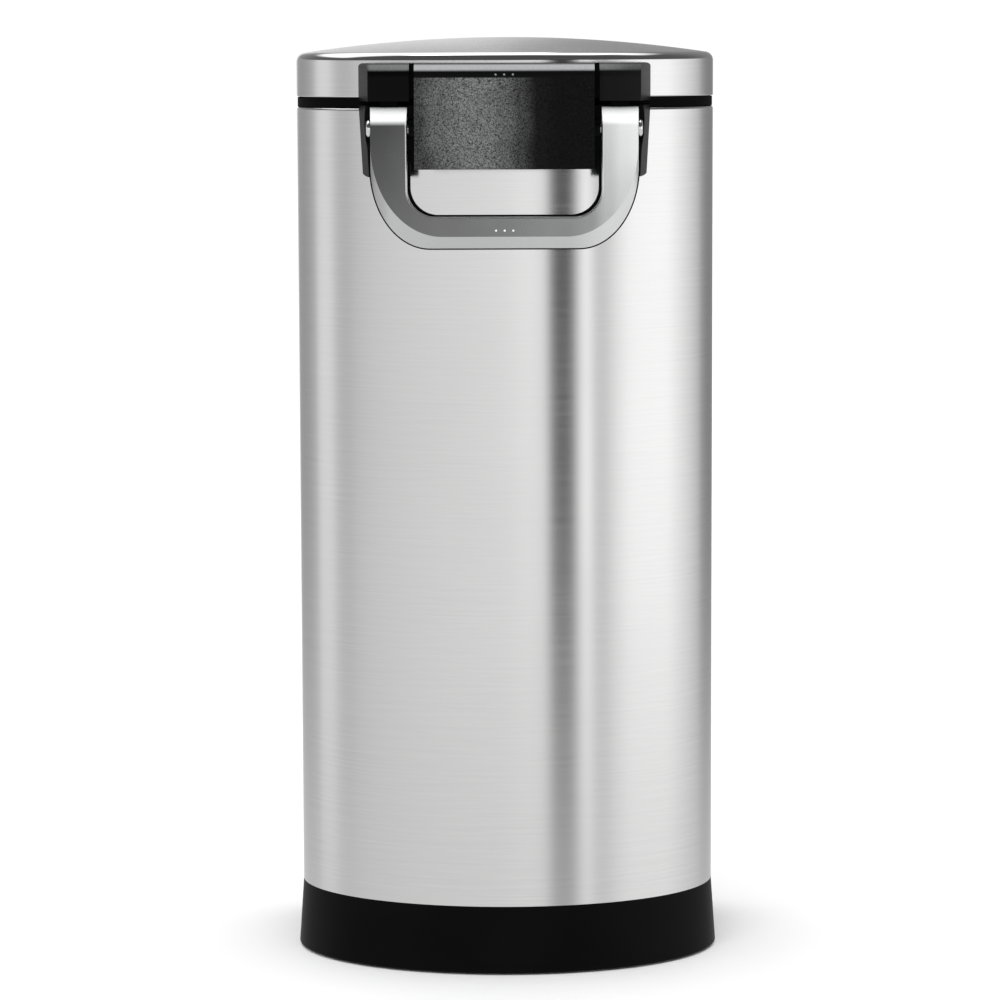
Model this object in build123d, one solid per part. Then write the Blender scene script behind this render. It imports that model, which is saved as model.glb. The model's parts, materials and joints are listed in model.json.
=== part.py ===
"""A tall bow-fronted stainless storage can with a hinged domed lid and a locking bail handle.

Frame: millimetres, +Z up, the front faces -Y, and the origin is the centre of the foot of the bounding box.
Every sub-part is written to parts/NODE.step.
"""

import os
from math import cos, sin, sqrt

from build123d import *

# ---------------------------------------------------------------- driving dimensions
HALF_WIDTH = 146.5  # half the width of the steel sleeve
BOW = 106.0  # how far the elliptical front stands out from the straight sides
SLEEVE_DEPTH = 240.0  # front of the bow to the flat back
REAR_CORNER = 35.0  # radius of the two back corners
FRONT_PROUD = 20.0  # latch plate in front of the sleeve
REAR_PROUD = 14.0  # hinge barrel and wheels behind the sleeve

BASE_TOP = 48.0
SLEEVE_TOP = 599.8
COLLAR_SEAT = 603.4  # the bucket's rim hangs here
COLLAR_TOP = 606.4  # the collar's outer lip, just under the lid
BUCKET_TOP = 605.4
LID_BOTTOM = 607.0
LID_EDGE = 636.5  # where the dome meets the lid's side
LID_TOP = 648.0

SHEET = 1.0  # steel sheet of sleeve and lid
SLEEVE_TOP_RADIUS = 2.2
SLEEVE_TURN_IN = 4.0
COLLAR_INSET = 0.6
COLLAR_LIP = 2.0
RIM_INNER = -6.8  # inner face of the collar, as a growth of the plan
LID_EDGE_RADIUS = 6.0
BASE_FLARE = 3.3
BASE_WALL = 3.0
BASE_FOOT = 1.0  # the skirt's lower edge stands this far off the floor
RUNNING = 0.06  # radial clearance of a turning fit
FIXED = 0.02  # radial clearance of a screw or pin that does not turn

# ---------------------------------------------------------------- places that follow from them
FRONT_Y = FRONT_PROUD - (FRONT_PROUD + SLEEVE_DEPTH + REAR_PROUD) / 2
BACK_Y = FRONT_Y + SLEEVE_DEPTH
BOW_Y = FRONT_Y + BOW
PLAN_CENTRE_Y = FRONT_Y + SLEEVE_DEPTH / 2

# Handle: a flat-faced U that hangs from two pivots.
HANDLE_FRONT_Y = FRONT_Y - 19.0
HANDLE_THICK = 15.0
HANDLE_BACK_Y = HANDLE_FRONT_Y + HANDLE_THICK
HANDLE_HALF = 90.6
HANDLE_INNER_HALF = 65.8
HANDLE_TOP = 600.6
HANDLE_BOTTOM = 505.3
GRIP_TOP = 526.7
BEVEL_DEPTH = 6.5
BEVEL_BOTTOM = 513.4  # the flat face ends here and the bevel starts
OPENING_CORNER = 18.8
INNER_EDGE_ROUND = 1.4
BACK_EDGE_ROUND = 1.8
GRIP_MIDDLE = 517.5
BACKING_SPLIT = 8.0  # depth of the casting in front of its black backing
GRIP_BACK_TOP = 572.0
GRIP_BACK_PROUD = 1.0
HEAD_FRONT_ROUND = 9.0
HEAD_BACK_ROUND = 5.0
PIVOT_Y = FRONT_Y - 10.0
PIVOT_Z = 586.3
LEG_CENTRE = (HANDLE_HALF + HANDLE_INNER_HALF) / 2
HEAD_SWEEP = 15.3  # radius that the handle's heads need to turn in
TAB_RADIUS = 14.7  # the catch tabs end this far from the pivot axis, just clear of the heads
BUSH_RADIUS = 5.5
BUSH_PROUD = 0.5
PIVOT_SHOULDER = 4.0
PIVOT_THREAD = 2.5
PIVOT_HEAD = 5.8

# Lid latch
BLOCK_INNER = 64.2
BLOCK_OUTER = 92.0
BLOCK_FRONT_Y = FRONT_Y - 19.0
BLOCK_BOTTOM = 604.6
BLOCK_TOP = 630.1
LATCH_ROUND = 9.8  # rounding of the latch's top front edge
BLOCK_CORNER = 1.5
BLOCK_SHOULDER = 4.0  # rounding of the latch's two outer top corners
PLATE_FOOT_ROUND = 1.2
FLARE_OUTER = 100.6  # the mouldings widen to this where they meet the steel
FLARE_BACK_Y = FRONT_Y + 32.0
PLATE_HALF = 60.8
PLATE_BOTTOM = 558.7
PLATE_FRONT_Y = FRONT_Y - FRONT_PROUD
PLATE_THICK = 3.5
RECESS_BACK_Y = FRONT_Y - 3.0  # the plate's hook and the latch's recess end here
BRIDGE_HALF = 59.0
BRIDGE_BOTTOM = 606.0
TAB_WIDTH = 12.0
TAB_THICK = 6.0
TAB_ROOT = 611.0

# Bracket on the sleeve
BRACKET_FRONT_Y = FRONT_Y - 2.5
BRACKET_FRONT_HALF = 94.4
BRACKET_LEAN = 2.4  # each side comes in this much towards the bottom
BRACKET_BOTTOM = 553.2
BRACKET_MIDDLE_BOTTOM = 563.0  # behind the latch plate it stops higher
BRACKET_TOP = 601.5
CHEEK_OUTER = HANDLE_INNER_HALF - 0.9
CHEEK_THICK = 5.0
CHEEK_RADIUS = 6.0
BRACKET_CORNER = 8.0
BACKING_IN = -SHEET - 2.0  # inner face of the strip behind the sleeve
BACKING_HEIGHTS = (557.0, 584.0)

# Hinge
HINGE_RADIUS = 6.0
HINGE_Y = BACK_Y + REAR_PROUD - HINGE_RADIUS
HINGE_Z = 604.5
HINGE_HALF = 46.0
HINGE_LID_HALF = 22.0
HINGE_PLATE = 5.0
BASE_LEAF = (556.0, 597.0)  # bottom and top of the plate on the sleeve
LID_LEAF = (612.0, 630.0)  # bottom and top of the plate on the lid
HINGE_SCREW_X = 34.0
PIN_RADIUS = 2.5

# Wheels and feet
WHEEL_RADIUS = 20.0
WHEEL_WIDTH = 16.0
WHEEL_X = 95.0
WHEEL_Y = BACK_Y + REAR_PROUD - WHEEL_RADIUS
WHEEL_Z = WHEEL_RADIUS + 2.0
AXLE_RADIUS = 3.0
HUB_RADIUS = 16.5
FOOT_RADIUS = 11.0
FOOT_THICK = 4.0

# Base: its spigot stands inside the sleeve, and its back is cut away so the can tips
SPIGOT_INNER = -4.0
SPIGOT_TOP = 66.0
BOSS_TOP = 40.0
BOSS_RADIUS = 6.0
RIB_THICK = 3.0
SIDE_RIB = 60.0  # length of the ribs that tie the side bosses to the skirt
FRONT_RIB = 36.0
FLOOR_PLATE = (12.0, 15.0)
REAR_RELIEF_X = (-120.0, 120.0)
REAR_RELIEF_Y = (BACK_Y - 24.0, BACK_Y + 20.0)
HANGER_OFFSET = 12.5

# Inside. Bucket and liner walls are growths of the plan.
BUCKET_FLOOR = 58.0
BUCKET_FLOOR_THICK = 2.5
BUCKET_FOOT = -12.0
BUCKET_MOUTH = -7.6
BUCKET_WALL = 1.8
LINER_FLOOR = 600.0
LINER_FLOOR_THICK = 2.5
LINER_OUTER = -13.0
LINER_INNER = -15.5
LINER_FLANGE = (608.5, 611.5)
GASKET_HEIGHTS = (605.6, 608.5)

# Scoop and the dock it hangs from
DOCK_Y = PLAN_CENTRE_Y - 58
DOCK_RADIUS = 14.0
DOCK_BOTTOM = 597.0
MAGNET_RADIUS = 10.0
MAGNET_THICK = 2.5
KEEPER_THICK = 1.5
SCOOP_TOP = DOCK_BOTTOM - 0.4
SCOOP_DEPTH = 42.0
SCOOP_HALF = 37.5
SCOOP_BOWL_Y = (PLAN_CENTRE_Y - 20, PLAN_CENTRE_Y + 72)
SCOOP_WALL = 1.8
SCOOP_CORNER = 16.0
SCOOP_EDGE = 8.0

# Small things
DOT_PITCH = 5.8
DOT_RADIUS = 0.75
DOT_LEAN = 0.23  # how far round the plate's top edge its dots sit, in radians from the front

BRACKET_SCREW_REACH = 9.0
HOUSING_SCREW_REACH = 9.0
HINGE_SCREW_REACH = 4.6
BASE_SCREW_REACH = 14.0
SCREW = {"shank": 2.0, "head": 4.0, "head_height": 2.2}
SIDES = (-1, 1)


# ---------------------------------------------------------------- shared shapes
def outline(grow=0.0):
    """The can's plan, grown outwards: an elliptical front, straight sides and a flat back."""
    half = HALF_WIDTH + grow
    back = BACK_Y + grow
    bow = EllipticalCenterArc((0, BOW_Y), half, BOW + grow, 180, arc_size=180)
    sides = Polyline((half, BOW_Y), (half, back), (-half, back), (-half, BOW_Y))
    face = make_face([*bow.edges(), *sides.edges()])
    return fillet(face.vertices().sort_by(Axis.Y)[-2:], REAR_CORNER + grow)


def prism(grow, bottom, top):
    """The plan as a solid between two heights."""
    return extrude(Pos(0, 0, bottom) * outline(grow), top - bottom)


def taper(grow_bottom, bottom, grow_top, top):
    """The plan as a solid that widens evenly from one height to another."""
    return loft([Pos(0, 0, bottom) * outline(grow_bottom), Pos(0, 0, top) * outline(grow_top)], ruled=True)


def ring(grow_out, grow_in, bottom, top):
    """A band of the plan, between two growths."""
    return prism(grow_out, bottom, top) - prism(grow_in, bottom - 1, top + 1)


def block(x, y, z):
    """A box from three (low, high) pairs."""
    size = [high - low for low, high in (x, y, z)]
    centre = [(high + low) / 2 for low, high in (x, y, z)]
    return Pos(*centre) * Box(*size)


def rod(axis, radius, start, end, centre=(0, 0)):
    """A round bar along an axis, from start to end. centre holds the other two places, in X, Y, Z order."""
    length = end - start
    middle = (start + end) / 2
    if axis == "X":
        return Pos(middle, *centre) * Rot(0, 90, 0) * Cylinder(radius, length)
    if axis == "Y":
        return Pos(centre[0], middle, centre[1]) * Rot(90, 0, 0) * Cylinder(radius, length)
    return Pos(*centre, middle) * Cylinder(radius, length)


def both(shape):
    """A shape and its mirror image across the can's middle, as separate solids."""
    return Compound([*shape.solids(), *mirror(shape, Plane.YZ).solids()])


def bow_y(x, grow=0.0):
    """Where the grown bow stands at a place across the front."""
    return BOW_Y - (BOW + grow) * sqrt(1 - (x / (HALF_WIDTH + grow)) ** 2)


def bow_plane(x, z, grow):
    """A plane on the bow that faces inwards, square to it."""
    half, depth = HALF_WIDTH + grow, BOW + grow
    slope = depth * x / (half * half * sqrt(1 - (x / half) ** 2))
    return Plane(origin=(x, bow_y(x, grow), z), x_dir=(0, 0, 1), z_dir=(-slope, 1, 0))


def screw_on(plane, reach, shank=SCREW["shank"]):
    """A pan-head screw whose head rests on a plane and whose shank goes down behind it."""
    shaft = Pos(0, 0, -reach / 2) * Cylinder(shank, reach)
    head = Pos(0, 0, SCREW["head_height"] / 2) * Cylinder(SCREW["head"], SCREW["head_height"])
    head = fillet(head.edges().group_by(Axis.Z)[-1], 0.8)
    cross = Pos(0, 0, SCREW["head_height"]) * (Box(4, 0.9, 2) + Box(0.9, 4, 2))
    return plane * (head + shaft - cross)


def hole_at(plane, reach, radius):
    """A cutter along a screw's line, running past the plane on both sides."""
    turned = Rot(0, 0, 30)  # keeps the cylinder's seam off the sheet's own edges
    return plane * (turned * Pos(0, 0, -reach / 2 + 2.5) * Cylinder(radius, reach + 5))


def drilled(shape, planes, radius=SCREW["shank"] + 0.3, reach=8):
    """A shape with a hole for each screw plane."""
    for plane in planes:
        shape -= hole_at(plane, reach, radius)
    return shape


# ---------------------------------------------------------------- where the screws go
BRACKET_SCREWS = [
    bow_plane(side * x, z, BACKING_IN - 0.1) for side in SIDES for x, z in ((76, 562.5), (46, 575.0))
]
HOUSING_SCREWS = [bow_plane(side * x, 617.0, -SHEET - 0.1) for side in SIDES for x in (50, 82)]


def back_plane(x, z, depth):
    """A plane inside the flat back that faces the front."""
    return Plane(origin=(x, BACK_Y - depth, z), x_dir=(0, 0, 1), z_dir=(0, -1, 0))


HINGE_BASE_SCREWS = [back_plane(side * HINGE_SCREW_X, z, SHEET) for side in SIDES for z in (568, 586)]
HINGE_ARM_SCREWS = [back_plane(side * HINGE_SCREW_X, 622, SHEET) for side in SIDES]
FOOT_SPOTS = [(side * x, y) for side in SIDES for x, y in ((72, FRONT_Y + 46), (112, BACK_Y - 62))]
BASE_SCREW_SPOTS = [(side * x, y) for side in SIDES for x, y in ((122, 20), (70, FRONT_Y + 26))]


# ---------------------------------------------------------------- sleeve, collar and bucket
def body_shell():
    """The brushed steel sleeve, turned in at the top."""
    outer = prism(0, BASE_TOP, SLEEVE_TOP)
    outer = fillet(outer.edges().group_by(Axis.Z)[-1], SLEEVE_TOP_RADIUS)
    shell = outer - prism(-SHEET, BASE_TOP - 1, SLEEVE_TOP - SHEET)
    shell -= prism(-SLEEVE_TURN_IN, SLEEVE_TOP - 5, SLEEVE_TOP + 1)
    return drilled(shell, [*BRACKET_SCREWS, *HINGE_BASE_SCREWS])


def rim_collar():
    """The plastic collar that caps the sleeve, guides the bucket and closes the gap under the lid."""
    seat = ring(-COLLAR_INSET, RIM_INNER, SLEEVE_TOP, COLLAR_SEAT)
    lip = ring(-COLLAR_INSET, -COLLAR_INSET - COLLAR_LIP, COLLAR_SEAT - 1, COLLAR_TOP)
    guide = ring(RIM_INNER + 2.5, RIM_INNER, 586, SLEEVE_TOP)
    return seat + lip + guide


def inner_bucket():
    """The lift-out bucket, hung by its rim."""
    rim = ring(-3.5, -9.3, COLLAR_SEAT, BUCKET_TOP)
    outside = taper(BUCKET_FOOT, BUCKET_FLOOR, BUCKET_MOUTH, BUCKET_TOP)
    inside_bottom = BUCKET_FLOOR + BUCKET_FLOOR_THICK
    inside = taper(BUCKET_FOOT - BUCKET_WALL, inside_bottom, BUCKET_MOUTH - BUCKET_WALL, BUCKET_TOP + 1)
    return rim + outside - inside


def backing_plate():
    """The steel strip inside the sleeve that the bracket's screws clamp."""
    low, high = BACKING_HEIGHTS
    strip = ring(-SHEET, BACKING_IN, low, high)
    strip &= block((-BRACKET_FRONT_HALF, BRACKET_FRONT_HALF), (FRONT_Y, BOW_Y), (low, high))
    return drilled(strip, BRACKET_SCREWS)


# ---------------------------------------------------------------- bracket and handle
def flared_face(front_half, front_y, less=0.0):
    """The plan of a moulding that widens from a flat front, with softened corners, to the steel."""
    front, back = front_half - less, FLARE_OUTER - less
    corners = [(-front, front_y), (front, front_y), (back, FLARE_BACK_Y), (-back, FLARE_BACK_Y)]
    face = make_face(Polyline(*corners, close=True))
    return fillet(face.vertices().sort_by(Axis.Y)[:2], BLOCK_CORNER)


def rounded_gate(half, bottom, corner):
    """A block across the can's front whose two lower corners are rounded."""
    gate = block((-half, half), (PLATE_FRONT_Y, FLARE_BACK_Y), (bottom, BRACKET_TOP))
    return fillet(gate.edges().filter_by(Axis.Y).group_by(Axis.Z)[0], corner)


def latch_bracket():
    """The moulding on the sleeve that carries the handle's pivots."""
    low_face = flared_face(BRACKET_FRONT_HALF, BRACKET_FRONT_Y, BRACKET_LEAN)
    high_face = flared_face(BRACKET_FRONT_HALF, BRACKET_FRONT_Y)
    body = loft([Pos(0, 0, BRACKET_BOTTOM) * low_face, Pos(0, 0, BRACKET_TOP) * high_face], ruled=True)
    body &= rounded_gate(FLARE_OUTER, BRACKET_BOTTOM, BRACKET_CORNER)
    body -= prism(0, BRACKET_BOTTOM - 1, SLEEVE_TOP)
    body -= prism(-COLLAR_INSET, SLEEVE_TOP - 1, BRACKET_TOP + 1)
    middle = (-CHEEK_OUTER - 2, CHEEK_OUTER + 2)
    body -= block(middle, (BRACKET_FRONT_Y - 5, FLARE_BACK_Y), (500, BRACKET_MIDDLE_BOTTOM))
    for side in SIDES:
        low, high = sorted((side * CHEEK_OUTER, side * (CHEEK_OUTER - CHEEK_THICK)))
        heights = (PIVOT_Z - CHEEK_RADIUS, PIVOT_Z + CHEEK_RADIUS)
        cheek = rod("X", CHEEK_RADIUS, low, high, (PIVOT_Y, PIVOT_Z))
        cheek += block((low, high), (PIVOT_Y, BRACKET_FRONT_Y + 4), heights)
        start, end = sorted((side * (HANDLE_INNER_HALF - 0.6), side * (FLARE_OUTER + 5)))
        body -= rod("X", HEAD_SWEEP, start, end, (PIVOT_Y, PIVOT_Z))
        body += cheek - rod("X", PIVOT_THREAD + FIXED, low - 1, high + 1, (PIVOT_Y, PIVOT_Z))
    body -= prism(0, BRACKET_BOTTOM - 1, SLEEVE_TOP)
    return drilled(body, BRACKET_SCREWS, SCREW["shank"] + FIXED, BRACKET_SCREW_REACH)


def pivot_screw(side):
    """A shoulder screw with a domed socket head, put in from the handle's outer side."""
    under_head = HANDLE_HALF + 0.25
    crown = 2.6
    head = rod("X", PIVOT_HEAD, under_head, under_head + crown)
    head = fillet(head.edges().filter_by(GeomType.CIRCLE).sort_by(Axis.X)[-1], crown - 0.4)
    socket = Pos(under_head + crown, 0, 0) * Rot(0, 90, 0) * extrude(RegularPolygon(1.8, 6), 1.6, both=True)
    shoulder = rod("X", PIVOT_SHOULDER, CHEEK_OUTER + 0.1, under_head)
    thread = rod("X", PIVOT_THREAD, CHEEK_OUTER - CHEEK_THICK, CHEEK_OUTER + 0.1)
    screw = Pos(0, PIVOT_Y, PIVOT_Z) * (head + shoulder + thread - socket)
    return screw if side > 0 else mirror(screw, Plane.YZ)


def shield(half, bottom, corner_wide, corner_tall, y):
    """The handle's outer outline filled in: straight legs and elliptical lower corners, at one depth."""
    centre = half - corner_wide
    shoulder = bottom + corner_tall
    plane = Plane(origin=(0, y, 0), x_dir=(1, 0, 0), z_dir=(0, -1, 0))
    edges = [
        Line((-half, HANDLE_TOP), (-half, shoulder)),
        EllipticalCenterArc((-centre, shoulder), corner_wide, corner_tall, 180, arc_size=90),
        Line((-centre, bottom), (centre, bottom)),
        EllipticalCenterArc((centre, shoulder), corner_wide, corner_tall, 270, arc_size=90),
        Line((half, shoulder), (half, HANDLE_TOP)),
        Line((half, HANDLE_TOP), (-half, HANDLE_TOP)),
    ]
    return plane * make_face(edges)


def window(half, bottom, corner):
    """The cutter for the handle's opening."""
    cutter = block((-half, half), (HANDLE_FRONT_Y - 5, HANDLE_BACK_Y + 5), (bottom, HANDLE_TOP + 50))
    return fillet(cutter.edges().filter_by(Axis.Y).group_by(Axis.Z)[0], corner)


def handle_bail():
    """The cast U handle: flat face, a bevel that grows towards the grip, and rounded heads."""
    step_y = HANDLE_FRONT_Y + BEVEL_DEPTH
    face = shield(HANDLE_HALF - 0.3, BEVEL_BOTTOM, 48.0, 61.6, HANDLE_FRONT_Y)
    edge = shield(HANDLE_HALF, HANDLE_BOTTOM, 40.0, 54.7, step_y)
    bail = loft([face, edge], ruled=True) + extrude(edge, -(HANDLE_BACK_Y - step_y))
    bail -= window(HANDLE_INNER_HALF, GRIP_TOP, OPENING_CORNER)
    bail = _round_edges(bail)
    rebate = (HANDLE_FRONT_Y + BACKING_SPLIT, HANDLE_BACK_Y + 1)
    bail -= block((-HANDLE_HALF - 1, HANDLE_HALF + 1), rebate, (HANDLE_BOTTOM - 1, GRIP_BACK_TOP))
    for side in SIDES:
        low, high = sorted((side * (HANDLE_INNER_HALF - 2), side * (HANDLE_HALF + 2)))
        bail -= _head_cutter(low, high)
        bail -= rod("X", BUSH_RADIUS, low, high, (PIVOT_Y, PIVOT_Z))
    return bail


def handle_grip_back():
    """The black soft-grip moulding behind the casting, which shows as a dark line round its edges."""
    split_y = HANDLE_FRONT_Y + BACKING_SPLIT
    half = HANDLE_HALF + GRIP_BACK_PROUD
    bottom = HANDLE_BOTTOM - GRIP_BACK_PROUD
    whole = extrude(shield(half, bottom, 41.0, 55.7, split_y), split_y - HANDLE_BACK_Y)
    whole -= window(HANDLE_INNER_HALF - 2 * GRIP_BACK_PROUD, GRIP_TOP + GRIP_BACK_PROUD, OPENING_CORNER)
    return whole & block((-half - 1, half + 1), (split_y, HANDLE_BACK_Y), (bottom - 1, GRIP_BACK_TOP))


def _round_edges(bail):
    """Softens the long edges that a hand meets."""
    front_inner = bail.edges().filter_by(
        lambda e: abs(e.center().Y - HANDLE_FRONT_Y) < 0.01
        and e.center().Z < HANDLE_TOP - 1
        and (abs(abs(e.center().X) - HANDLE_INNER_HALF) < 0.5 or abs(e.center().Z - GRIP_TOP) < 7)
    )
    bail = fillet(front_inner, INNER_EDGE_ROUND)
    back = bail.edges().filter_by(
        lambda e: abs(e.center().Y - HANDLE_BACK_Y) < 0.01 and e.center().Z < HANDLE_TOP - 1
    )
    return fillet(back, BACK_EDGE_ROUND)


def _head_cutter(low, high):
    """What rounding the head's two top edges takes away."""
    plane = Plane(origin=(low, 0, 0), x_dir=(0, 1, 0), z_dir=(1, 0, 0))
    square = Pos((HANDLE_FRONT_Y + HANDLE_BACK_Y) / 2, HANDLE_TOP - 10) * Rectangle(HANDLE_THICK, 20)
    front_top = square.vertices().group_by(Axis.Y)[-1].sort_by(Axis.X)[0]
    rounded = fillet(front_top, HEAD_FRONT_ROUND)
    back_top = rounded.vertices().group_by(Axis.Y)[-1].sort_by(Axis.X)[-1]
    rounded = fillet(back_top, HEAD_BACK_ROUND)
    return extrude(plane * (square - rounded), high - low)


def handle_bushes():
    """Nylon bushes pressed into the handle's legs."""
    inner_end = HANDLE_INNER_HALF - BUSH_PROUD
    bush = rod("X", BUSH_RADIUS, inner_end, HANDLE_HALF, (PIVOT_Y, PIVOT_Z))
    bush -= rod("X", PIVOT_SHOULDER + RUNNING, 0, 2 * HANDLE_HALF, (PIVOT_Y, PIVOT_Z))
    return both(bush)


def handle_bumpers():
    """Rubber buttons behind the grip that keep it off the steel."""
    button = rod("Y", 4.0, HANDLE_BACK_Y, HANDLE_BACK_Y + 4.2, (18, 516))
    return both(fillet(button.edges().group_by(Axis.Y)[-1], 1.0))


def dots(y, z):
    """Three raised tactile dots in a row, standing out of a surface towards the front."""
    dome = Pos(0, y, z) * Sphere(DOT_RADIUS)
    return Compound([Pos(i * DOT_PITCH, 0, 0) * dome.solid() for i in (-1, 0, 1)])


def handle_dots():
    """The grip's tactile dots, half proud of its face."""
    front = block((-20, 20), (HANDLE_FRONT_Y - 5, HANDLE_FRONT_Y), (GRIP_MIDDLE - 5, GRIP_MIDDLE + 5))
    return dots(HANDLE_FRONT_Y, GRIP_MIDDLE) & front


# ---------------------------------------------------------------- lid
def dome(grow, base, edge, crown, edge_radius):
    """A solid with the plan's sides and a domed top that is parabolic along every ray from the middle."""
    rings = 7
    sections = []
    for i in range(rings):
        share = 1 - i * 0.93 / (rings - 1)
        flat = Pos(0, -PLAN_CENTRE_Y, 0) * outline(grow)
        sized = Pos(0, PLAN_CENTRE_Y, 0) * scale(flat, (share, share, 1))
        sections.append(Pos(0, 0, edge + crown * (1 - share**2)) * sized)
    cap = loft(sections)
    body = prism(grow, base, edge) + cap
    rim = body.edges().filter_by(lambda e: abs(e.center().Z - edge) < 0.05 and e.bounding_box().size.Z < 0.1)
    return fillet(rim, edge_radius)


def lid_shell():
    """The drawn steel lid: a shallow dome with a deep skirt."""
    crown = LID_TOP - LID_EDGE
    outer = dome(0, LID_BOTTOM, LID_EDGE, crown, LID_EDGE_RADIUS)
    inner = dome(-SHEET, LID_BOTTOM - 1, LID_EDGE - SHEET, crown, LID_EDGE_RADIUS - SHEET)
    return drilled(outer - inner, [*HOUSING_SCREWS, *HINGE_ARM_SCREWS])


def lid_liner():
    """The plastic inner lid, a shallow tray that plugs the bucket's mouth."""
    flange_low, flange_high = LINER_FLANGE
    flange = ring(-SHEET - 0.2, LINER_INNER, flange_low, flange_high)
    tray = prism(LINER_OUTER, LINER_FLOOR, flange_low)
    tray -= prism(LINER_INNER, LINER_FLOOR + LINER_FLOOR_THICK, flange_low + 1.5)
    tray = fillet(tray.edges().group_by(Axis.Z)[0], 1.5)
    dock = rod("Z", DOCK_RADIUS, DOCK_BOTTOM, LINER_FLOOR + 1, (0, DOCK_Y))
    pocket = rod("Z", MAGNET_RADIUS + 0.1, DOCK_BOTTOM - 1, DOCK_BOTTOM + MAGNET_THICK, (0, DOCK_Y))
    return flange + tray + dock - pocket


def lid_gasket():
    """The rubber ring under the liner's flange, with a groove that leaves two soft lips."""
    low, high = GASKET_HEIGHTS
    seal = ring(-COLLAR_INSET - COLLAR_LIP - 0.5, -10.5, low, high)
    return seal - ring(-5.0, -8.5, low - 1, low + 1)


def rounded_bar(front, back, bottom, top, half, radius):
    """A bar across the can whose top front edge is rounded."""
    section = Pos((front + back) / 2, (bottom + top) / 2) * Rectangle(back - front, top - bottom)
    corner = section.vertices().group_by(Axis.Y)[-1].sort_by(Axis.X)[0]
    plane = Plane(origin=(-half, 0, 0), x_dir=(0, 1, 0), z_dir=(1, 0, 0))
    return extrude(plane * fillet(corner, radius), 2 * half)


def lid_latch_housing():
    """The gloss moulding on the lid's front: two blocks over the handle's heads, joined behind the plate."""
    face = flared_face(BLOCK_OUTER, BLOCK_FRONT_Y)
    whole = extrude(Pos(0, 0, BLOCK_BOTTOM) * face, BLOCK_TOP - BLOCK_BOTTOM)
    whole &= rounded_bar(BLOCK_FRONT_Y, FLARE_BACK_Y, BLOCK_BOTTOM, BLOCK_TOP, FLARE_OUTER, LATCH_ROUND)
    lintel = block((-FLARE_OUTER, FLARE_OUTER), (BLOCK_FRONT_Y, FLARE_BACK_Y), (BLOCK_BOTTOM, BLOCK_TOP))
    whole &= fillet(lintel.edges().filter_by(Axis.Y).group_by(Axis.Z)[-1], BLOCK_SHOULDER)
    recess = (-BLOCK_INNER, BLOCK_INNER)
    whole -= block(recess, (PLATE_FRONT_Y - 5, RECESS_BACK_Y), (600, 640))
    whole -= block(recess, (PLATE_FRONT_Y - 5, FLARE_BACK_Y), (600, BRIDGE_BOTTOM))
    bridge_ends = (PLATE_FRONT_Y + PLATE_THICK, RECESS_BACK_Y + 1)
    bridge_top = BLOCK_TOP - PLATE_THICK - 0.5
    whole += rounded_bar(*bridge_ends, BRIDGE_BOTTOM, bridge_top, BRIDGE_HALF, LATCH_ROUND - PLATE_THICK)
    whole -= prism(0, BLOCK_BOTTOM - 1, BLOCK_TOP + 1)
    for side in SIDES:
        whole -= _tab_box(side)
    return drilled(whole, HOUSING_SCREWS, SCREW["shank"] + FIXED, HOUSING_SCREW_REACH)


def _tab_box(side):
    """The block a catch tab is cut from, straight above the pivot."""
    half = TAB_WIDTH / 2
    across = (side * LEG_CENTRE - half, side * LEG_CENTRE + half)
    return block(across, (PIVOT_Y - TAB_THICK / 2, PIVOT_Y + TAB_THICK / 2), (PIVOT_Z, TAB_ROOT))


def catch_tabs():
    """The two tabs under the blocks that the handle's heads bear up against."""
    tabs = []
    for side in SIDES:
        middle = side * LEG_CENTRE
        sweep = rod("X", TAB_RADIUS, middle - TAB_WIDTH, middle + TAB_WIDTH, (PIVOT_Y, PIVOT_Z))
        tabs.append((_tab_box(side) - sweep).solid())
    return Compound(tabs)


def latch_plate():
    """The grained plate over the latch, which is also the lid's finger pull."""
    top = BLOCK_TOP - 0.2
    inner_y = PLATE_FRONT_Y + PLATE_THICK
    profile = [
        (PLATE_FRONT_Y, PLATE_BOTTOM),
        (PLATE_FRONT_Y, top),
        (RECESS_BACK_Y, top),
        (RECESS_BACK_Y, top - PLATE_THICK),
        (inner_y, top - PLATE_THICK),
        (inner_y, PLATE_BOTTOM),
    ]
    plane = Plane(origin=(-PLATE_HALF, 0, 0), x_dir=(0, 1, 0), z_dir=(1, 0, 0))
    section = make_face(Polyline(*profile, close=True))
    outer = section.vertices().sort_by_distance((PLATE_FRONT_Y, top))[0]
    section = fillet(outer, LATCH_ROUND)
    inner = section.vertices().sort_by_distance((inner_y, top - PLATE_THICK))[0]
    section = fillet(inner, LATCH_ROUND - PLATE_THICK)
    foot = section.vertices().group_by(Axis.Y)[0]
    section = fillet(foot, PLATE_FOOT_ROUND)
    return extrude(plane * section, 2 * PLATE_HALF)


def latch_plate_dots():
    """The plate's tactile dots, on its rounded top edge."""
    centre_y = PLATE_FRONT_Y + LATCH_ROUND
    centre_z = BLOCK_TOP - 0.2 - LATCH_ROUND
    nubs = dots(centre_y - LATCH_ROUND * cos(DOT_LEAN), centre_z + LATCH_ROUND * sin(DOT_LEAN))
    return nubs - rod("X", LATCH_ROUND, -20, 20, (centre_y, centre_z))


# ---------------------------------------------------------------- hinge
def _barrel(low, high, bore):
    """One hinge knuckle."""
    centre = (HINGE_Y, HINGE_Z)
    return rod("X", HINGE_RADIUS, low, high, centre) - rod("X", bore, low - 1, high + 1, centre)


def _hinge_leaf(heights):
    """A hinge's flat plate with rounded corners."""
    leaf = block((-HINGE_HALF, HINGE_HALF), (BACK_Y, BACK_Y + HINGE_PLATE), heights)
    leaf = fillet(leaf.edges().filter_by(Axis.Y), 5)
    return fillet(leaf.faces().sort_by(Axis.Y)[-1].edges(), 1.5)


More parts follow.
